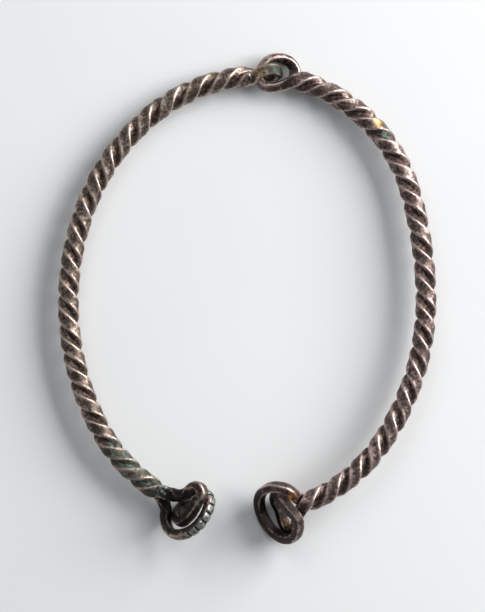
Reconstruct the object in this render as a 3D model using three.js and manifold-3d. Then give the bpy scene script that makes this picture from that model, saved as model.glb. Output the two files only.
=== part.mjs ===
// A neck ring (torc) in two halves, lying flat with its open side toward -Y.
// Each half is one bar bent into a closed loop: doubled, twisted into a two-strand rope,
// left open as an eye at the back, and wound into a double hoop at the front.
// The two eyes are threaded through each other, which links the halves.
import * as THREE from "three";
import { mergeVertices } from "three/addons/utils/BufferGeometryUtils.js";
import Module from "manifold-3d";

const wasm = await Module();
wasm.setup();

// ---- driving sizes, in millimetres and degrees ----
const BAR_THICK = 3.2; // bar in the rope, across its two broad faces
const BAR_WIDE = 4.5;
const BAR_CORNER = 0.9; // worn corners
const STRAND_GAP = 0.65; // between the broad faces of the two strands
const HOOP_THICK = 3.2;
const HOOP_WIDE = 3.6;
const EYE_THICK = 2.5;
const EYE_WIDE = 3.9;
const BACK_HEIGHT = 5.2; // rope axis above the lowest point, at the back
const RIGHT_HOOP_HEIGHT = 10.6; // hoop centres
const LEFT_HOOP_HEIGHT = 8.8;
const TERMINAL_STEP = 1.8; // one rope meets its hoop this much high, the other this much low
const REST_DEPTH = 0.45; // taken off underneath, so that the ring lies on small flats
const ROPE_STEP = 1.9; // length between two sections of the bar
const BEND_STEP = 1.5;
const HOOP_STEP = 30; // turn between two points of a hoop's circle
const MIDDLE = [-0.2, -0.31]; // middle of the outline, moved to the origin
const STRAND_OFFSET = (BAR_THICK + STRAND_GAP) / 2;
const HOOP_BLEND = 9; // lengths over which a section turns into its neighbour's
const EYE_BLEND = 5;
const TAPER = 9; // and over which it thins, which is longer along a hoop's inner turn
const LONG_TAPER = 45;

const UP = new THREE.Vector3(0, 0, 1);
const radians = THREE.MathUtils.degToRad;
const vec = (x, y, z) => new THREE.Vector3(x, y, z);

// ---- the halves ----
// The rope's course is a chain of arcs from the back to the front: radius, sweep (positive turns
// left) and the half-turns that the two strands make round each other along it.
// Eye and inner-turn points are given from the eye's neck and from the hoop's centre.
const RIGHT = {
  name: "right_half",
  colour: 0x5a4a44,
  neck: { x: 18, y: 79.5, heading: -15, lead: 0 },
  arcs: [
    { radius: 59, sweep: -59, halfTurns: 5.7 },
    { radius: 147, sweep: -15, halfTurns: 3.45 },
    { radius: 92, sweep: -36, halfTurns: 5.5 },
    { radius: 58.5, sweep: -34, halfTurns: 3.35 },
  ],
  ropeEndHeight: RIGHT_HOOP_HEIGHT + TERMINAL_STEP,
  eye: [
    vec(-0.8, 4.4, -2.4),
    vec(-2.3, 6.6, -2.6),
    vec(-4.7, 7.9, -2.3),
    vec(-7.6, 8.3, -1.6),
    vec(-10.5, 7.6, -0.8),
    vec(-12.7, 5.5, -0.2),
    vec(-13.7, 2.6, 0),
    vec(-13.5, -0.1, 0.2),
    vec(-12, -2.1, 0.6),
    vec(-9.1, -2.6, 0.9),
    vec(-6.1, -2.3, 1.3),
    vec(-3, -1.3, 1.7),
  ],
  eyeLiesFlat: true,
  hoop: {
    centre: vec(11.4, -78.9, RIGHT_HOOP_HEIGHT),
    major: [0.49, -0.87],
    lean: [0.87, 0.49],
    tilt: 55,
  },
  hoopRadius: 10.1,
  hoopSweep: { from: -330, to: -540 },
  hoopLeadIn: [
    [50, 6, -3.9],
    [20, 6.4, -3.4],
    [-10, 8, -3.5],
    [-40, 9.3, -4],
    [-66, 8, -5.1],
    [-98, 5.8, -5.3],
    [-130, 6.6, -4.9],
    [-160, 6.8, -4.4],
    [-185, 6.8, -3.5],
    [-215, 6, -2.4],
    [-240, 5.9, -1.3],
    [-268, 7.1, -0.2],
    [-297, 9.9, 0],
  ],
  hoopLeadOut: [
    [-567, 10.9, -0.4],
    [-586, 10.9, -2.2],
  ],
  hoopRunOff: [],
  tapers: [TAPER, TAPER],
};
const LEFT = {
  name: "left_half",
  colour: 0x63513f,
  neck: { x: 1.5, y: 81, heading: 183.5, lead: 1.46 },
  arcs: [
    { radius: 64, sweep: 36.5, halfTurns: 3.75 },
    { radius: 79, sweep: 27, halfTurns: 3.65 },
    { radius: 98, sweep: 50.5, halfTurns: 8.45 },
    { radius: 62.5, sweep: 29.5, halfTurns: 3.15 },
  ],
  ropeEndHeight: LEFT_HOOP_HEIGHT - TERMINAL_STEP,
  eye: [
    vec(0.3, 0.5, -2.7),
    vec(1.9, -0.3, -3.4),
    vec(3.8, -0.9, -3.8),
    vec(6.7, -0.7, -3.8),
    vec(9, 0.4, -2.8),
    vec(10.1, 1.4, 0),
    vec(9, 2.1, 2.8),
    vec(6.7, 2.4, 3.8),
    vec(3.8, 1.5, 3.8),
    vec(1.9, 0.3, 3.5),
    vec(0.5, -1, 2.8),
  ],
  eyeLiesFlat: false,
  hoop: {
    centre: vec(-21.9, -77.5, LEFT_HOOP_HEIGHT),
    major: [-0.62, -0.78],
    lean: [0.78, -0.62],
    tilt: 50,
  },
  hoopRadius: 10.1,
  hoopSweep: { from: 0, to: 150 },
  hoopLeadIn: [
    [-66, 9.3, 3.1],
    [-60, 9.4, 1.6],
    [-40, 10, 0.1],
  ],
  hoopLeadOut: [[177, 8.1, 0.6]],
  hoopRunOff: [
    vec(4.5, 5.7, -0.5),
    vec(1.2, 3.9, -4.6),
    vec(-1.9, 1, -7),
    vec(-3.6, -1.7, -5.4),
    vec(-3.6, -3.7, -0.6),
    vec(-1.9, -4.1, 3.6),
    vec(1.1, -1.4, 5.6),
    vec(3.7, 3.3, 6.6),
    vec(5.6, 6.5, 7.5),
    vec(4.6, 8.6, 7),
    vec(2.1, 8, 5.1),
    vec(-0.6, 5.7, 2.8),
    vec(-4.6, 5.4, 0.6),
  ],
  tapers: [TAPER, LONG_TAPER],
};

// ---- curves ----
const smooth = (t) => THREE.MathUtils.smoothstep(t, 0, 1);

// Middle, heading and half-turns of the rope at a distance from its neck.
function ropeAt(half, distance) {
  let { x, y } = half.neck;
  let heading = radians(half.neck.heading);
  let halfTurns = 0;
  let start = 0;
  for (const [index, arc] of half.arcs.entries()) {
    const length = arc.radius * Math.abs(radians(arc.sweep));
    const bend = radians(arc.sweep) / length;
    const last = index === half.arcs.length - 1;
    const along = last ? distance - start : Math.min(distance - start, length);
    const turned = heading + bend * along;
    x += (Math.sin(turned) - Math.sin(heading)) / bend;
    y -= (Math.cos(turned) - Math.cos(heading)) / bend;
    heading = turned;
    halfTurns += (arc.halfTurns * along) / length;
    start += length;
    if (distance <= start) break;
  }
  const rise = (half.ropeEndHeight - BACK_HEIGHT) * (distance / ropeLength(half));
  return { middle: vec(x, y, BACK_HEIGHT + rise), heading, halfTurns };
}

function ropeLength(half) {
  return half.arcs.reduce((sum, arc) => sum + arc.radius * Math.abs(radians(arc.sweep)), 0);
}

// A strand's centre and its thin direction, which points away from the other strand.
function strandAt(half, distance, side) {
  const { middle, heading, halfTurns } = ropeAt(half, distance);
  const angle = Math.PI * (0.5 - halfTurns + side);
  const across = vec(-Math.sin(heading), Math.cos(heading), 0);
  const thin = across.multiplyScalar(Math.cos(angle)).addScaledVector(UP, Math.sin(angle));
  return { point: middle.addScaledVector(thin, STRAND_OFFSET), thin };
}

function strand(half, side) {
  const length = ropeLength(half) - half.neck.lead;
  const steps = Math.round(length / ROPE_STEP);
  return Array.from({ length: steps + 1 }, (_, i) => ({
    ...strandAt(half, half.neck.lead + (length * i) / steps, side),
    thick: BAR_THICK,
    wide: BAR_WIDE,
  }));
}

// Points of a smooth curve through the given ones, with its end directions set.
function curveThrough(points, first, last) {
  const spans = points.slice(1).map((p, i) => p.distanceTo(points[i]));
  const slopes = points.map((p, i) => {
    if (i === 0) return first;
    if (i === points.length - 1) return last;
    const before = p.clone().sub(points[i - 1]).multiplyScalar(spans[i] / spans[i - 1]);
    const after = points[i + 1].clone().sub(p).multiplyScalar(spans[i - 1] / spans[i]);
    return before.add(after).divideScalar(spans[i - 1] + spans[i]);
  });
  const made = [points[0].clone()];
  spans.forEach((span, i) => {
    const steps = Math.max(1, Math.round(span / BEND_STEP));
    for (let j = 1; j <= steps; j++) {
      const t = j / steps;
      made.push(
        points[i].clone().multiplyScalar(2 * t ** 3 - 3 * t ** 2 + 1)
          .addScaledVector(slopes[i], span * (t ** 3 - 2 * t ** 2 + t))
          .addScaledVector(points[i + 1], 3 * t ** 2 - 2 * t ** 3)
          .addScaledVector(slopes[i + 1], span * (t ** 3 - t ** 2)),
      );
    }
  });
  return made;
}

const direction = (from, to) => to.clone().sub(from).normalize();

// ---- the hoop ----
function hoopFrame(half) {
  const { centre, major, lean, tilt } = half.hoop;
  const lying = Math.cos(radians(tilt));
  const first = vec(major[0], major[1], 0).normalize();
  const second = vec(lean[0] * lying, lean[1] * lying, Math.sin(radians(tilt))).normalize();
  return { centre, first, second, axis: first.clone().cross(second) };
}

function hoopPoint(frame, [turn, radius, lift]) {
  return frame.centre.clone()
    .addScaledVector(frame.first, radius * Math.cos(radians(turn)))
    .addScaledVector(frame.second, radius * Math.sin(radians(turn)))
    .addScaledVector(frame.axis, lift);
}

function hoopStations(half, frame) {
  const { from, to } = half.hoopSweep;
  const turns = Math.round(Math.abs(to - from) / HOOP_STEP);
  const circle = Array.from({ length: turns + 1 }, (_, i) => [
    from + ((to - from) * i) / turns,
    half.hoopRadius,
    0,
  ]);
  const onHoop = [...half.hoopLeadIn, ...circle, ...half.hoopLeadOut];
  return [
    ...onHoop.map((station) => hoopPoint(frame, station)),
    ...half.hoopRunOff.map((offset) => offset.clone().add(frame.centre)),
  ];
}

// Gives each point of a bend its section: the thin direction and the sizes fade from the strands'
// own at both ends to those of the bend.
function bendSections(points, blend, tapers, ends, thinAt, thick, wide) {
  const along = [0];
  points.slice(1).forEach((p, i) => along.push(along[i] + p.distanceTo(points[i])));
  const total = along.at(-1);
  return points.map((point, i) => {
    const inward = smooth(Math.min(along[i], total - along[i]) / blend);
    const thinned = smooth(along[i] / tapers[0]) * smooth((total - along[i]) / tapers[1]);
    const end = ends[along[i] < total / 2 ? 0 : 1];
    const own = thinAt(point, along[i] / total);
    if (own.dot(end) < 0) own.negate();
    return {
      point,
      thin: end.clone().lerp(own, inward).normalize(),
      thick: THREE.MathUtils.lerp(BAR_THICK, thick, thinned),
      wide: THREE.MathUtils.lerp(BAR_WIDE, wide, thinned),
    };
  });
}

function hoopBend(half, outgoing, returning) {
  const frame = hoopFrame(half);
  const [a, b] = outgoing.slice(-2);
  const [c, d] = returning.slice(-2);
  const points = curveThrough(
    [b.point, ...hoopStations(half, frame), d.point],
    direction(a.point, b.point),
    direction(d.point, c.point),
  );
  const awayFromAxis = (point) => {
    const offset = point.clone().sub(frame.centre);
    return offset.addScaledVector(frame.axis, -offset.dot(frame.axis)).normalize();
  };
  const ends = [b.thin, d.thin];
  return bendSections(points, HOOP_BLEND, half.tapers, ends, awayFromAxis, HOOP_THICK, HOOP_WIDE);
}

// ---- the eye ----
function eyeBend(half, outgoing, returning) {
  const heading = radians(half.neck.heading);
  const neck = vec(half.neck.x, half.neck.y, BACK_HEIGHT);
  const stations = half.eye.map((offset) => offset.clone().add(neck));
  const start = returning[0];
  const end = outgoing[0];
  const points = curveThrough(
    [start.point, ...stations, end.point],
    direction(returning[1].point, start.point),
    direction(end.point, outgoing[1].point),
  );
  const middle = stations.reduce((sum, p) => sum.add(p), vec(0, 0, 0));
  middle.divideScalar(stations.length);
  const across = vec(-Math.sin(heading), Math.cos(heading), 0);
  // A lying eye turns its thin side from down, through outward, to up.
  const lying = (point, share) => {
    const outward = point.clone().sub(middle).setZ(0).normalize();
    const fromBelow = -90 * (1 - smooth(share * 2));
    const toAbove = 90 * smooth(share * 2 - 1);
    const lean = radians(share < 0.5 ? fromBelow : toAbove);
    return outward.multiplyScalar(Math.cos(lean)).addScaledVector(UP, Math.sin(lean));
  };
  const standing = (point) => {
    const outward = point.clone().sub(middle);
    return outward.addScaledVector(across, -outward.dot(across)).normalize();
  };
  const thinAt = half.eyeLiesFlat ? lying : standing;
  const blend = half.eyeLiesFlat ? 0.01 : EYE_BLEND;
  const ends = [start.thin, end.thin];
  return bendSections(points, blend, [EYE_BLEND, EYE_BLEND], ends, thinAt, EYE_THICK, EYE_WIDE);
}

// ---- the bar as a solid ----
function barLoop(half) {
  const outgoing = strand(half, 0);
  const returning = strand(half, 1);
  const hoop = hoopBend(half, outgoing, returning);
  const eye = eyeBend(half, outgoing, returning);
  return [...outgoing, ...hoop.slice(1, -1), ...returning.toReversed(), ...eye.slice(1, -1)];
}

function sectionOutline(thick, wide) {
  const a = wide / 2;
  const b = thick / 2;
  const quarter = [[a, b - BAR_CORNER], [a - BAR_CORNER, b]];
  const outline = [];
  quarter.forEach(([u, v]) => outline.push([u, v]));
  quarter.toReversed().forEach(([u, v]) => outline.push([-u, v]));
  quarter.forEach(([u, v]) => outline.push([-u, -v]));
  quarter.toReversed().forEach(([u, v]) => outline.push([u, -v]));
  return outline;
}

// Sweeps the section round the closed loop. The section is the same turned by half a turn, so the
// last ring may meet the first with its points shifted by half their number.
function sweepLoop(loop) {
  const count = loop.length;
  let before = null;
  const rings = loop.map(({ point, thin, thick, wide }, i) => {
    const tangent = direction(loop[(i + count - 1) % count].point, loop[(i + 1) % count].point);
    const across = thin.clone().addScaledVector(tangent, -thin.dot(tangent)).normalize();
    if (before && across.dot(before) < 0) across.negate();
    before = across;
    const side = tangent.clone().cross(across);
    return sectionOutline(thick, wide).map(([u, v]) =>
      point.clone().addScaledVector(side, u).addScaledVector(across, v));
  });
  const sides = rings[0].length;
  const first = loop[0].thin;
  const shift = before.dot(first) < 0 ? sides / 2 : 0;
  const index = [];
  for (let i = 0; i < count; i++) {
    const next = (i + 1) % count;
    const turn = next === 0 ? shift : 0;
    for (let j = 0; j < sides; j++) {
      const k = (j + 1) % sides;
      const a = i * sides + j;
      const b = i * sides + k;
      const c = next * sides + ((k + turn) % sides);
      const d = next * sides + ((j + turn) % sides);
      index.push(a, d, c, a, c, b);
    }
  }
  const geometry = new THREE.BufferGeometry();
  geometry.setAttribute("position", new THREE.Float32BufferAttribute(
    rings.flat().flatMap((p) => p.toArray()), 3));
  geometry.setIndex(index);
  return geometry;
}

// ---- cutting ----
function solidOf(geometry) {
  return new wasm.Manifold(new wasm.Mesh({
    numProp: 3,
    vertProperties: new Float32Array(geometry.getAttribute("position").array),
    triVerts: new Uint32Array(geometry.index.array),
  }));
}

function geometryOf(solid) {
  const mesh = solid.getMesh();
  const geometry = new THREE.BufferGeometry();
  geometry.setAttribute("position", new THREE.Float32BufferAttribute(mesh.vertProperties, 3));
  geometry.setIndex(new THREE.BufferAttribute(mesh.triVerts, 1));
  geometry.computeVertexNormals();
  return geometry;
}

// Everything below the table's height, taken off so that the ring rests on small flats.
function tableBlock() {
  const size = 400;
  const below = 20;
  const block = new THREE.BoxGeometry(size, size, below);
  block.deleteAttribute("normal");
  block.deleteAttribute("uv");
  block.translate(0, 0, REST_DEPTH - below / 2);
  return block;
}

function halfMesh(half) {
  const bar = solidOf(sweepLoop(barLoop(half)));
  const resting = bar.subtract(solidOf(mergeVertices(tableBlock())));
  const metal = new THREE.MeshStandardMaterial({
    color: half.colour,
    roughness: 0.45,
    metalness: 0.85,
  });
  const mesh = new THREE.Mesh(geometryOf(resting), metal);
  mesh.name = half.name;
  return mesh;
}

const torc = new THREE.Group();
torc.add(halfMesh(RIGHT), halfMesh(LEFT));
torc.position.set(-MIDDLE[0], -MIDDLE[1], -REST_DEPTH);

export default torc;
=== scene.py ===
import math

import bmesh
import bpy
import numpy as np
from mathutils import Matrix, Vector, noise


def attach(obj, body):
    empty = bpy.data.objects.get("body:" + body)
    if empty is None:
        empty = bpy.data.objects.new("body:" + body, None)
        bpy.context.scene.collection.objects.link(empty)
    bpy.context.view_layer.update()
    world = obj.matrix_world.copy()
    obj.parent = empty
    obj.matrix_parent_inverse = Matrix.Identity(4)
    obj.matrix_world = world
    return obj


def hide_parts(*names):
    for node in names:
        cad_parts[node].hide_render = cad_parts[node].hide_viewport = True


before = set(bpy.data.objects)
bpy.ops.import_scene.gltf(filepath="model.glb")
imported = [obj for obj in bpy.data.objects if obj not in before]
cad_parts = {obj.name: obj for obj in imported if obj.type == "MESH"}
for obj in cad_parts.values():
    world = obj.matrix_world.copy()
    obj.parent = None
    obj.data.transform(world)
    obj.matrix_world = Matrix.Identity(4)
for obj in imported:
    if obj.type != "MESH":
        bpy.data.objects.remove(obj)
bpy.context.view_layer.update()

# A neck ring (torc) in two halves, lying flat with its open side toward -Y. Each half is one bar bent
# into a closed loop: doubled, twisted into a two-strand rope, left open as an eye at the back and wound
# into a double hoop at the front. Lengths are in millimetres until the mesh is made, angles in degrees.
MM = 0.001
BAR_THICK, BAR_WIDE = 3.4, 4.7
HOOP_THICK, HOOP_WIDE = 3.3, 3.7
EYE_THICK, EYE_WIDE = 2.5, 3.9
CORNER = 0.75          # radius of the bar's soft corners
CROWN = 0.1            # how far the middle of a face stands proud
CORNER_STEPS = 4
FACE_STEPS = 4
STRAND_OFFSET = 1.925  # rope axis to strand centre
BACK_HEIGHT = 5.2      # rope axis above the lowest point, at the back
RIGHT_HOOP_HEIGHT = 10.6
LEFT_HOOP_HEIGHT = 8.8
TERMINAL_STEP = 1.8    # the right rope meets its hoop this much high, the left one this much low
REST_DEPTH = 0.45      # pressed flat underneath, where the ring rests
MIDDLE = (-0.2, -0.31)  # middle of the outline, moved to the origin
STEP = 0.4             # between two rings of the bar's skin
HOOP_STEP = 30         # turn between two points of a hoop's circle
UP = np.array([0.0, 0.0, 1.0])

# Lengths over which a section turns into its neighbour's, and over which it thins.
HOOP_BLEND, EYE_BLEND, NO_BLEND = 9.0, 5.0, 0.01
TAPER, LONG_TAPER = 9.0, 45.0

# Height of the dents along the bar and of the fine pits, and how closely they follow each other.
HAMMERED, HAMMERED_PER_MM = 0.07, 0.32
PITTED, PITTED_PER_MM = 0.03, 1.9

# The notches on the left hoop's outer face, and the scraped band that they are cut in.
NOTCH_FROM, NOTCH_TO = 58, 166
NOTCH_DEEP, NOTCH_LONG = 0.45, 0.75
BAND_FADE = 14
OFF_CIRCLE = 1         # a bar further than this from the hoop's plane isn't on its circle
FACE_FROM, FACE_RISE = 0.3, 3  # how far round the bar the outer face begins, and how sharply

# Each half: the rope's course is a chain of arcs from the back to the front, each with its radius, its
# sweep (positive turns left) and the half-turns that the strands make round each other along it. Points
# of the eye are offsets from its neck. Those on a hoop are a turn, a radius and a lift off its plane, and
# those of the run-off are offsets from its centre.
RIGHT = dict(
    node="right_half",
    slot="right_bar",
    neck=(18, 79.5), heading=-15, lead=0,
    arcs=[(59, -59, 5.7), (147, -15, 3.45), (92, -36, 5.5), (58.5, -34, 3.35)],
    rope_end=RIGHT_HOOP_HEIGHT + TERMINAL_STEP,
    eye=[(-0.8, 4.4, -2.4), (-2.3, 6.6, -2.6), (-4.7, 7.9, -2.3), (-7.6, 8.3, -1.6), (-10.5, 7.6, -0.8),
         (-12.7, 5.5, -0.2), (-13.7, 2.6, 0), (-13.5, -0.1, 0.2), (-12, -2.1, 0.6), (-9.1, -2.6, 0.9),
         (-6.1, -2.3, 1.3), (-3, -1.3, 1.7)],
    eye_lies_flat=True,
    centre=(11.4, -78.9, RIGHT_HOOP_HEIGHT), major=(0.49, -0.87), lean=(0.87, 0.49), tilt=55,
    radius=10.1, sweep=(-330, -540),
    lead_in=[(50, 6, -3.9), (20, 6.4, -3.4), (-10, 8, -3.5), (-40, 9.3, -4), (-66, 8, -5.1),
             (-98, 5.8, -5.3), (-130, 6.6, -4.9), (-160, 6.8, -4.4), (-185, 6.8, -3.5), (-215, 6, -2.4),
             (-240, 5.9, -1.3), (-268, 7.1, -0.2), (-297, 9.9, 0)],
    lead_out=[(-567, 10.9, -0.4), (-586, 10.9, -2.2)],
    run_off=[],
    tapers=(TAPER, TAPER),
    notches=0,
)
LEFT = dict(
    node="left_half",
    slot="left_bar",
    neck=(1.5, 81), heading=183.5, lead=1.46,
    arcs=[(64, 36.5, 3.75), (79, 27, 3.65), (98, 50.5, 8.45), (62.5, 29.5, 3.15)],
    rope_end=LEFT_HOOP_HEIGHT - TERMINAL_STEP,
    eye=[(0.3, 0.5, -2.7), (1.9, -0.3, -3.4), (3.8, -0.9, -3.8), (6.7, -0.7, -3.8), (9, 0.4, -2.8),
         (10.1, 1.4, 0), (9, 2.1, 2.8), (6.7, 2.4, 3.8), (3.8, 1.5, 3.8), (1.9, 0.3, 3.5),
         (0.5, -1, 2.8)],
    eye_lies_flat=False,
    centre=(-21.9, -77.5, LEFT_HOOP_HEIGHT), major=(-0.62, -0.78), lean=(0.78, -0.62), tilt=50,
    radius=10.1, sweep=(0, 150),
    lead_in=[(-66, 9.3, 3.1), (-60, 9.4, 1.6), (-40, 10, 0.1)],
    lead_out=[(177, 8.1, 0.6)],
    run_off=[(4.5, 5.7, -0.5), (1.2, 3.9, -4.6), (-1.9, 1, -7), (-3.6, -1.7, -5.4), (-3.6, -3.7, -0.6),
             (-1.9, -4.1, 3.6), (1.1, -1.4, 5.6), (3.7, 3.3, 6.6), (5.6, 6.5, 7.5), (4.6, 8.6, 7),
             (2.1, 8, 5.1), (-0.6, 5.7, 2.8), (-4.6, 5.4, 0.6)],
    tapers=(TAPER, LONG_TAPER),
    notches=7,
)

# Where the metal shows something other than its brown skin, and where shade is painted onto it as near-black
# spots: place, reach and strength.
GILT_SPOTS = [(48, 64.2, 4.6, 0.64), (5, 82.5, 4.5, 0.62), (16.5, -72.5, 3, 0.75), (15.5, -83, 2.6, 0.6),
              (9, -69.5, 4, 0.35)]
CRUST_SPOTS = [(51.5, 61, 4.5, 0.75), (-45, -61, 16, 0.75), (-34, -68, 9, 0.7), (8.5, 83, 7, 0.66),
               (-53, 44, 14, 0.25), (60, -25, 18, 0.2), (10, -69, 4, 0.5)]
# Painted shade: near-black spots where the left inner turn and the hoops' shaded sides lie in shadow.
PAINTED_SHADE_SPOTS = [(-27, -76, 10, 0.9), (4.5, -78, 9, 0.85), (12, -88, 8, 0.7), (14, 82.5, 5, 0.6),
              (17, -80, 6, 0.5)]
SPOT_CORE = 0.35       # share of a spot's reach that has its full strength
RAGGED = [(0.45, 0.3), (1.4, 0.25)]  # how closely a spot's rim frays and how far, as shares of its reach
BEND_HOLLOW = 0.15     # how hollow the eye and the hoop count; in the rope the inner faces do

# What each vertex carries for the finish.
MARKS = ("corner", "hollow", "notch", "band", "gilt", "crust", "painted_shade")


# ---- curves ----
def unit(v):
    return v / np.linalg.norm(v)


def cosine(degrees):
    return math.cos(math.radians(degrees))


def sine(degrees):
    return math.sin(math.radians(degrees))


def smooth(t):
    t = min(max(t, 0.0), 1.0)
    return t * t * (3 - 2 * t)


def rope_length(half):
    return sum(radius * abs(math.radians(sweep)) for radius, sweep, _ in half["arcs"])


def rope_at(half, distance):
    """The rope's middle, its heading and the half-turns made at a distance from its neck."""
    x, y = half["neck"]
    heading = math.radians(half["heading"])
    half_turns = start = 0.0
    for radius, sweep, turns in half["arcs"]:
        length = radius * abs(math.radians(sweep))
        bend = math.radians(sweep) / length
        last = (radius, sweep, turns) == half["arcs"][-1]
        along = distance - start if last else min(distance - start, length)
        turned = heading + bend * along
        x += (math.sin(turned) - math.sin(heading)) / bend
        y -= (math.cos(turned) - math.cos(heading)) / bend
        heading = turned
        half_turns += turns * along / length
        start += length
        if distance <= start:
            break
    height = BACK_HEIGHT + (half["rope_end"] - BACK_HEIGHT) * distance / rope_length(half)
    return np.array([x, y, height]), heading, half_turns


def strand_at(half, distance, side):
    """A strand's centre and its thin direction, which points away from the other strand."""
    middle, heading, half_turns = rope_at(half, distance)
    angle = math.pi * (0.5 - half_turns + side)
    across = np.array([-math.sin(heading), math.cos(heading), 0])
    thin = across * math.cos(angle) + UP * math.sin(angle)
    return middle + thin * STRAND_OFFSET, thin


def strand(half, side):
    lead = half["lead"]
    length = rope_length(half) - lead
    steps = round(length / STEP)
    found = [strand_at(half, lead + length * i / steps, side) for i in range(steps + 1)]
    return np.array([p for p, _ in found]), np.array([t for _, t in found])


def curve_through(points, first, last):
    """A smooth curve through points, leaving in the first direction and arriving in the last."""
    points = np.array(points, float)
    spans = np.linalg.norm(np.diff(points, axis=0), axis=1)
    slopes = np.empty_like(points)
    for i in range(1, len(points) - 1):
        before = (points[i] - points[i - 1]) * spans[i] / spans[i - 1]
        after = (points[i + 1] - points[i]) * spans[i - 1] / spans[i]
        slopes[i] = (before + after) / (spans[i - 1] + spans[i])
    slopes[0] = first
    slopes[-1] = last
    made = [points[:1]]
    for i, span in enumerate(spans):
        steps = max(1, round(span / STEP))
        t = np.linspace(0, 1, steps + 1)[1:, None]
        made.append(points[i] * (2 * t**3 - 3 * t**2 + 1) + slopes[i] * span * (t**3 - 2 * t**2 + t)
                    + points[i + 1] * (3 * t**2 - 2 * t**3) + slopes[i + 1] * span * (t**3 - t**2))
    return np.vstack(made)


# ---- the hoop and the eye ----
def hoop_frame(half):
    """A hoop's centre, the two directions of its plane and its axis."""
    lean_x, lean_y = half["lean"]
    lying = cosine(half["tilt"])
    first = unit(np.array([*half["major"], 0.0]))
    second = unit(np.array([lean_x * lying, lean_y * lying, sine(half["tilt"])]))
    return np.array(half["centre"], float), first, second, np.cross(first, second)


def hoop_stations(half):
    centre, first, second, axis = hoop_frame(half)
    begin, end = half["sweep"]
    turns = round(abs(end - begin) / HOOP_STEP)
    circle = [(begin + (end - begin) * i / turns, half["radius"], 0) for i in range(turns + 1)]
    places = [centre + radius * (cosine(turn) * first + sine(turn) * second) + lift * axis
              for turn, radius, lift in half["lead_in"] + circle + half["lead_out"]]
    return places + [centre + np.array(offset) for offset in half["run_off"]]


def bend_sections(points, blend, tapers, ends, thin_at, thick, wide):
    """Thin directions and sizes along a bend, faded in from the strands' own at both ends."""
    along = np.concatenate([[0], np.cumsum(np.linalg.norm(np.diff(points, axis=0), axis=1))])
    total = along[-1]
    thins, sizes = [], []
    for point, distance in zip(points, along):
        inward = smooth(min(distance, total - distance) / blend)
        thinned = smooth(distance / tapers[0]) * smooth((total - distance) / tapers[1])
        end = ends[0] if distance < total / 2 else ends[1]
        own = thin_at(point, distance / total)
        own = own if own @ end >= 0 else -own
        thins.append(unit(end * (1 - inward) + own * inward))
        sizes.append((BAR_THICK + (thick - BAR_THICK) * thinned, BAR_WIDE + (wide - BAR_WIDE) * thinned))
    return points, np.array(thins), np.array(sizes)


def hoop_bend(half, outgoing, returning):
    centre, _, _, axis = hoop_frame(half)
    (out_points, out_thins), (back_points, back_thins) = outgoing, returning
    points = curve_through([out_points[-1], *hoop_stations(half), back_points[-1]],
                           unit(out_points[-1] - out_points[-2]), unit(back_points[-2] - back_points[-1]))

    def away_from_axis(point, _):
        offset = point - centre
        return unit(offset - axis * (offset @ axis))

    return bend_sections(points, HOOP_BLEND, half["tapers"], (out_thins[-1], back_thins[-1]),
                         away_from_axis, HOOP_THICK, HOOP_WIDE)


def eye_bend(half, outgoing, returning):
    heading = half["heading"]
    neck = np.array([*half["neck"], BACK_HEIGHT])
    stations = [neck + np.array(offset) for offset in half["eye"]]
    (out_points, out_thins), (back_points, back_thins) = outgoing, returning
    points = curve_through([back_points[0], *stations, out_points[0]],
                           unit(back_points[0] - back_points[1]), unit(out_points[1] - out_points[0]))
    middle = np.mean(stations, axis=0)
    across = np.array([-sine(heading), cosine(heading), 0])

    def lying(point, share):
        """Turns the thin side from down, through outward, to up."""
        outward = unit((point - middle) * [1, 1, 0])
        lean = -90 * (1 - smooth(share * 2)) if share < 0.5 else 90 * smooth(share * 2 - 1)
        return outward * cosine(lean) + UP * sine(lean)

    def standing(point, _):
        outward = point - middle
        return unit(outward - across * (outward @ across))

    thin_at, blend = (lying, NO_BLEND) if half["eye_lies_flat"] else (standing, EYE_BLEND)
    return bend_sections(points, blend, (EYE_BLEND, EYE_BLEND), (back_thins[0], out_thins[0]),
                         thin_at, EYE_THICK, EYE_WIDE)


# ---- the bar's skin ----
def bar_loop(half):
    """Centres, thin directions, sizes and whether it is the rope, all round one closed bar."""
    outgoing, returning = strand(half, 0), strand(half, 1)
    hoop = hoop_bend(half, outgoing, returning)
    eye = eye_bend(half, outgoing, returning)
    plain = np.tile([BAR_THICK, BAR_WIDE], (len(outgoing[0]), 1))
    points = np.vstack([outgoing[0], hoop[0][1:-1], returning[0][::-1], eye[0][1:-1]])
    thins = np.vstack([outgoing[1], hoop[1][1:-1], returning[1][::-1], eye[1][1:-1]])
    sizes = np.vstack([plain, hoop[2][1:-1], plain, eye[2][1:-1]])
    counts = len(plain), len(hoop[0]) - 2, len(plain), len(eye[0]) - 2
    return points, thins, sizes, np.repeat([True, False, True, False], counts)


def section_outline(thick, wide):
    """Points round a soft-cornered bar with slightly crowned faces: across, up, and how near a corner."""
    a, b = wide / 2 - CORNER, thick / 2 - CORNER
    centres = np.array([(a, b), (-a, b), (-a, -b), (a, -b)])
    outline = []
    for quarter, centre in enumerate(centres):
        for i in range(CORNER_STEPS + 1):
            turn = 90 * (quarter + i / CORNER_STEPS)
            nearness = 1 - abs(i - CORNER_STEPS / 2) / (CORNER_STEPS - 1)
            outline.append((*(centre + CORNER * np.array([cosine(turn), sine(turn)])), nearness))
        outward = np.array([cosine(90 * (quarter + 1)), sine(90 * (quarter + 1))])
        following = centres[(quarter + 1) % len(centres)]
        for i in range(1, FACE_STEPS):
            share = i / FACE_STEPS
            proud = CORNER + CROWN * sine(180 * share)
            outline.append((*(centre * (1 - share) + following * share + outward * proud), 0))
    return np.array(outline)


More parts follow.
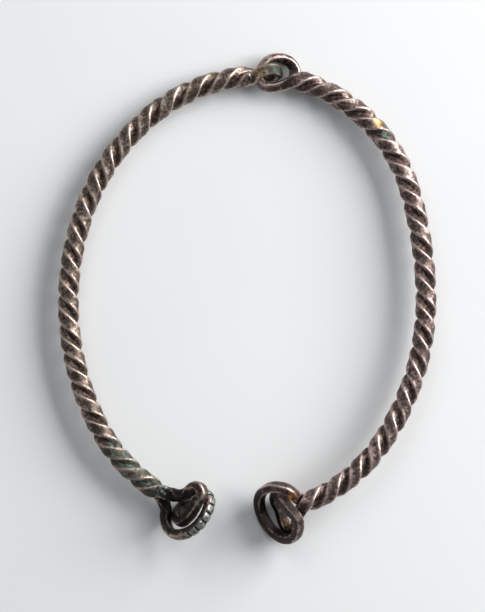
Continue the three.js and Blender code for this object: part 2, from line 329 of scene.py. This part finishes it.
def section_axes(points, thins):
    """Across and side directions of every ring, without sudden turns; the last may be upside down."""
    tangents = np.roll(points, -1, axis=0) - np.roll(points, 1, axis=0)
    tangents /= np.linalg.norm(tangents, axis=1)[:, None]
    across = thins - tangents * np.sum(thins * tangents, axis=1)[:, None]
    across /= np.linalg.norm(across, axis=1)[:, None]
    for i in range(1, len(across)):
        if across[i] @ across[i - 1] < 0:
            across[i] = -across[i]
    return across, np.cross(tangents, across)


def notch_at(half, point):
    """How deep a notch is at a point on the bar's centre line, and how far it is in the notched band."""
    if not half["notches"]:
        return 0.0, 0.0
    centre, first, second, axis = hoop_frame(half)
    offset = point - centre
    if abs(offset @ axis) > OFF_CIRCLE:
        return 0.0, 0.0
    turn = math.degrees(math.atan2(offset @ second, offset @ first))
    pitch = (NOTCH_TO - NOTCH_FROM) / (half["notches"] - 1)
    number = round((turn - NOTCH_FROM) / pitch)
    middle, reach = (NOTCH_FROM + NOTCH_TO) / 2, (NOTCH_TO - NOTCH_FROM) / 2
    band = 1 - smooth((abs(turn - middle) - reach) / BAND_FADE)
    if not 0 <= number < half["notches"]:
        return 0.0, band
    apart = abs(turn - NOTCH_FROM - number * pitch) * math.radians(half["radius"])
    return NOTCH_DEEP * (1 - smooth(apart / NOTCH_LONG)), band


def outer_share(reach, across, offset):
    """How far a point, at a reach from the bar's centre line, is on the face away from the hoop's centre."""
    outward = across if across @ offset > 0 else -across
    return smooth((unit(reach) @ outward - FACE_FROM) * FACE_RISE)


def beaten(point):
    """Height of the dents and pits at a point of the skin."""
    return (noise.noise(Vector(point) * HAMMERED_PER_MM) * HAMMERED
            + noise.noise(Vector(point) * PITTED_PER_MM) * PITTED)


def spot_strength(spots, point):
    """How strongly any of the spots reaches a point, with a ragged rim."""
    ragged = sum(noise.noise(Vector(point) * per_mm) * depth for per_mm, depth in RAGGED)
    strength = 0.0
    for x, y, reach, most in spots:
        share = math.hypot(point[0] - x, point[1] - y) / reach + ragged
        strength = max(strength, most * (1 - smooth(share - SPOT_CORE)))
    return strength


def grid_place(vert, rings, sides, upside_down):
    """Ring and place round it of a grid point. The last ring is the first again, perhaps upside down."""
    ring = round((vert.co.x + 0.5) * rings)
    place = round((vert.co.y + 0.5) * sides) % sides
    if ring < rings:
        return ring, place
    return 0, (place + sides // 2) % sides if upside_down else place


def bar_skin(half):
    """The bar's closed mesh: a grid wrapped round the bar and along it, with its marks for the finish."""
    points, thins, sizes, in_rope = bar_loop(half)
    across, side = section_axes(points, thins)
    outlines = [section_outline(*size) for size in sizes]
    notches = [notch_at(half, point) for point in points]
    hoop_centre = hoop_frame(half)[0]
    rings, sides = len(points), len(outlines[0])
    upside_down = across[-1] @ across[0] < 0
    bm = bmesh.new()
    bmesh.ops.create_grid(bm, x_segments=rings, y_segments=sides, size=0.5)
    layers = {name: bm.verts.layers.float.new(name) for name in MARKS}
    for vert in bm.verts:
        ring, place = grid_place(vert, rings, sides, upside_down)
        u, v, corner = outlines[ring][place]
        deep, band = notches[ring]
        reach = side[ring] * u + across[ring] * v
        outer = outer_share(reach, across[ring], points[ring] - hoop_centre)
        skin = points[ring] + reach
        skin = skin + unit(reach) * (beaten(skin) - deep * outer)
        vert.co = Vector(skin)
        between = -v * (thins[ring] @ across[ring]) / (BAR_THICK / 2)
        marks = dict(corner=corner, hollow=max(0.0, between) if in_rope[ring] else BEND_HOLLOW,
                     notch=deep * outer / NOTCH_DEEP, band=band * outer,
                     gilt=spot_strength(GILT_SPOTS, skin), crust=spot_strength(CRUST_SPOTS, skin),
                     painted_shade=spot_strength(PAINTED_SHADE_SPOTS, skin))
        for name, strength in marks.items():
            vert[layers[name]] = strength
    bmesh.ops.remove_doubles(bm, verts=bm.verts, dist=1e-4)
    bmesh.ops.recalc_face_normals(bm, faces=bm.faces)
    return bm


def rest_on_table(bm):
    """Moves the ring to its origin and presses it flat where it rests."""
    bmesh.ops.translate(bm, verts=bm.verts, vec=(-MIDDLE[0], -MIDDLE[1], -REST_DEPTH))
    for vert in bm.verts:
        vert.co.z = max(vert.co.z, 0.0)
    bmesh.ops.scale(bm, verts=bm.verts, vec=(MM, MM, MM))


def make_half(half, metal):
    bm = bar_skin(half)
    rest_on_table(bm)
    mesh = bpy.data.meshes.new(half["node"] + "_bar")
    bm.to_mesh(mesh)
    bm.free()
    for face in mesh.polygons:
        face.use_smooth = True
    bar = bpy.data.objects.new(half["node"] + "_bar", mesh)
    bpy.context.scene.collection.objects.link(bar)
    mesh.materials.append(metal)
    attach(bar, "root")
    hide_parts(half["node"])


# ---- finishes ----
class Value:
    """A shader output that takes part in Python sums; each step adds its Math node."""

    def __init__(self, finish, socket):
        self.finish = finish
        self.socket = socket

    def maths(self, operation, first, second, clamp=False):
        return self.finish.node("ShaderNodeMath", dict(operation=operation, use_clamp=clamp),
                                {0: first, 1: second})

    def __add__(self, other):
        return self.maths("ADD", self, other)

    def __sub__(self, other):
        return self.maths("SUBTRACT", self, other)

    def __rsub__(self, other):
        return self.maths("SUBTRACT", other, self)

    def __mul__(self, other):
        return self.maths("MULTIPLY", self, other)

    __radd__ = __add__
    __rmul__ = __mul__

    def clamped(self):
        return self.maths("ADD", self, 0.0, clamp=True)

    def between(self, low, high):
        """0 below low, 1 above high, and a smooth step from one to the other."""
        return self.finish.node("ShaderNodeMapRange", dict(interpolation_type="SMOOTHSTEP"),
                                {"Value": self, "From Min": low, "From Max": high})


class Finish:
    """A material with a Principled shader, built up by adding nodes."""

    def __init__(self, name):
        self.material = bpy.data.materials.new(name)
        self.material.use_nodes = True
        self.tree = self.material.node_tree
        self.shader = self.tree.nodes["Principled BSDF"]
        self.place = self.node("ShaderNodeTexCoord", {}, {}, "Object")

    def node(self, kind, settings, inputs, output=0):
        made = self.tree.nodes.new(kind)
        for name, setting in settings.items():
            setattr(made, name, setting)
        self.feed(made, inputs)
        return Value(self, made.outputs[output])

    def feed(self, node, inputs):
        for name, given in inputs.items():
            if isinstance(given, Value):
                self.tree.links.new(given.socket, node.inputs[name])
            else:
                node.inputs[name].default_value = given

    def noise(self, per_metre, detail=4.0, roughness=0.55):
        return self.node("ShaderNodeTexNoise", {}, {"Vector": self.place, "Scale": per_metre,
                                                    "Detail": detail, "Roughness": roughness}, "Fac")

    def attribute(self, name):
        return self.node("ShaderNodeAttribute", dict(attribute_name=name), {}, "Fac")

    def mixed(self, share, first, second):
        return self.node("ShaderNodeMix", dict(data_type="RGBA"), {0: share, 6: first, 7: second}, 2)

    def bumped(self, height, distance, strength):
        return self.node("ShaderNodeBump", {}, {"Height": height, "Distance": distance,
                                                "Strength": strength}, "Normal")

    def finished(self, **inputs):
        self.feed(self.shader, {name.replace("_", " "): given for name, given in inputs.items()})
        return self.material


def colour(red, green, blue):
    return red, green, blue, 1.0


RIGHT_SKIN, RIGHT_RUBBED = colour(0.11, 0.08, 0.072), colour(0.62, 0.46, 0.42)
LEFT_SKIN, LEFT_RUBBED = colour(0.105, 0.082, 0.066), colour(0.60, 0.46, 0.39)
TARNISH = colour(0.055, 0.042, 0.036)
# Painted shade: the near-black of parts that lie in shadow.
PAINTED_SHADE_TONE = colour(0.02, 0.02, 0.017)
SCRAPED = colour(0.33, 0.335, 0.33)
DEEP_GREEN, PALE_GREEN = colour(0.035, 0.06, 0.045), colour(0.17, 0.27, 0.22)
GILT = colour(0.42, 0.26, 0.10)
NOTCH_SHADE = colour(0.02, 0.022, 0.02)
PAPER, PAPER_LIT = colour(0.80, 0.81, 0.815), colour(0.83, 0.835, 0.835)
DAYLIGHT = colour(0.9, 0.95, 1.0)
RELIEF = 0.00045       # metres that the finest marks stand proud


def tarnished_metal(name, skin, rubbed):
    """Dark tarnish over a copper alloy: rubbed corners, a scraped band, green crust and gilt spots, with
    painted shade as near-black spots and in the notches.
    """
    finish = Finish(name)
    corner, hollow, notch, band, gilt, crust, painted_shade = (finish.attribute(mark) for mark in MARKS)
    cloud = finish.noise(140)
    speck = finish.noise(900, 6)
    pits = finish.noise(2600, 3, 0.7)
    wear = corner * 0.55 + (1 - hollow) * 0.25 + cloud * 0.9 + speck * 1.2 + pits * 0.4
    # The rubbed colour is held back under the painted shade spots.
    wear = (wear - painted_shade * 0.45 - 1.36).between(0, 0.7)
    scraped = (band * 0.8 + speck * 1.6 + cloud * 0.5 - 1.5).between(0, 0.5)
    crust = (crust * 0.75 + hollow * 0.4 + speck * 0.9 + pits * 0.4 - 1.1).between(0, 0.3)
    gilt = (gilt + speck * 0.9 + cloud * 0.5 - 1.15).between(0, 0.4)
    green = finish.mixed(finish.noise(420, 5).between(0.45, 0.6), DEEP_GREEN, PALE_GREEN)
    metal = finish.mixed(cloud.between(0.35, 0.65), skin, TARNISH)
    # Painted shade: the spots darken the metal to near black, as if in shadow.
    metal = finish.mixed((painted_shade * 0.9).clamped(), metal, PAINTED_SHADE_TONE)
    metal = finish.mixed(wear, metal, rubbed)
    metal = finish.mixed(scraped, metal, SCRAPED)
    metal = finish.mixed(crust, metal, green)
    metal = finish.mixed(gilt, metal, GILT)
    metal = finish.mixed(notch.between(0.25, 0.8), metal, NOTCH_SHADE)
    rough = 0.38 + speck * 0.22 - wear * 0.1 + crust * 0.3 - gilt * 0.08
    relief = cloud * 0.5 + speck * 0.35 + pits * 0.12 + crust * 0.3
    return finish.finished(Base_Color=metal, Roughness=rough, Metallic=(1 - crust * 0.85).clamped(),
                           Normal=finish.bumped(relief, RELIEF, 0.8))


def pale_paper():
    finish = Finish("pale_paper")
    sheet = finish.mixed(finish.noise(6, 3).between(0.3, 0.7), PAPER, PAPER_LIT)
    return finish.finished(Base_Color=sheet, Roughness=0.9)


# ---- the setting, in metres ----
TABLE_HALF = 2.0
CAMERA_HEIGHT = 1.5
VIEW_MIDDLE = (-0.0016, -0.0028)
VIEW_TALL, VIEW_LEVEL = 0.2234, 0.008  # what the view takes in, at this height above the table
SENSOR_TALL = 24
NEAREST = 0.1


def add_table():
    bm = bmesh.new()
    bmesh.ops.create_grid(bm, x_segments=1, y_segments=1, size=TABLE_HALF)
    mesh = bpy.data.meshes.new("table")
    bm.to_mesh(mesh)
    bm.free()
    table = bpy.data.objects.new("table", mesh)
    mesh.materials.append(pale_paper())
    bpy.context.scene.collection.objects.link(table)


def add_softbox(name, place, size, power):
    """A soft rectangular light that faces the ring."""
    light = bpy.data.lights.new(name, "AREA")
    light.shape = "RECTANGLE"
    light.size, light.size_y = size
    light.energy = power
    lamp = bpy.data.objects.new(name, light)
    lamp.location = place
    lamp.rotation_euler = (-Vector(place)).to_track_quat("-Z", "Y").to_euler()
    bpy.context.scene.collection.objects.link(lamp)


def add_sky(strength):
    world = bpy.data.worlds.new("room")
    world.use_nodes = True
    background = world.node_tree.nodes["Background"]
    background.inputs["Color"].default_value = DAYLIGHT
    background.inputs["Strength"].default_value = strength
    bpy.context.scene.world = world


def add_camera():
    """Looks straight down; the view is a little taller and wider than the ring."""
    camera = bpy.data.cameras.new("camera")
    camera.sensor_fit = "VERTICAL"
    camera.sensor_height = SENSOR_TALL
    camera.lens = SENSOR_TALL * (CAMERA_HEIGHT - VIEW_LEVEL) / VIEW_TALL
    camera.clip_start = NEAREST
    viewer = bpy.data.objects.new("camera", camera)
    viewer.location = (*VIEW_MIDDLE, CAMERA_HEIGHT)
    bpy.context.scene.collection.objects.link(viewer)
    bpy.context.scene.camera = viewer


make_half(RIGHT, tarnished_metal("right_bar_metal", RIGHT_SKIN, RIGHT_RUBBED))
make_half(LEFT, tarnished_metal("left_bar_metal", LEFT_SKIN, LEFT_RUBBED))
add_table()
add_softbox("window", (1.0, 0.45, 0.6), (1.1, 0.8), 27)
add_softbox("bounce", (-0.3, 0.9, 1.2), (0.9, 0.9), 4)
add_sky(0.22)
add_camera()
bpy.context.scene.view_settings.view_transform = "Standard"
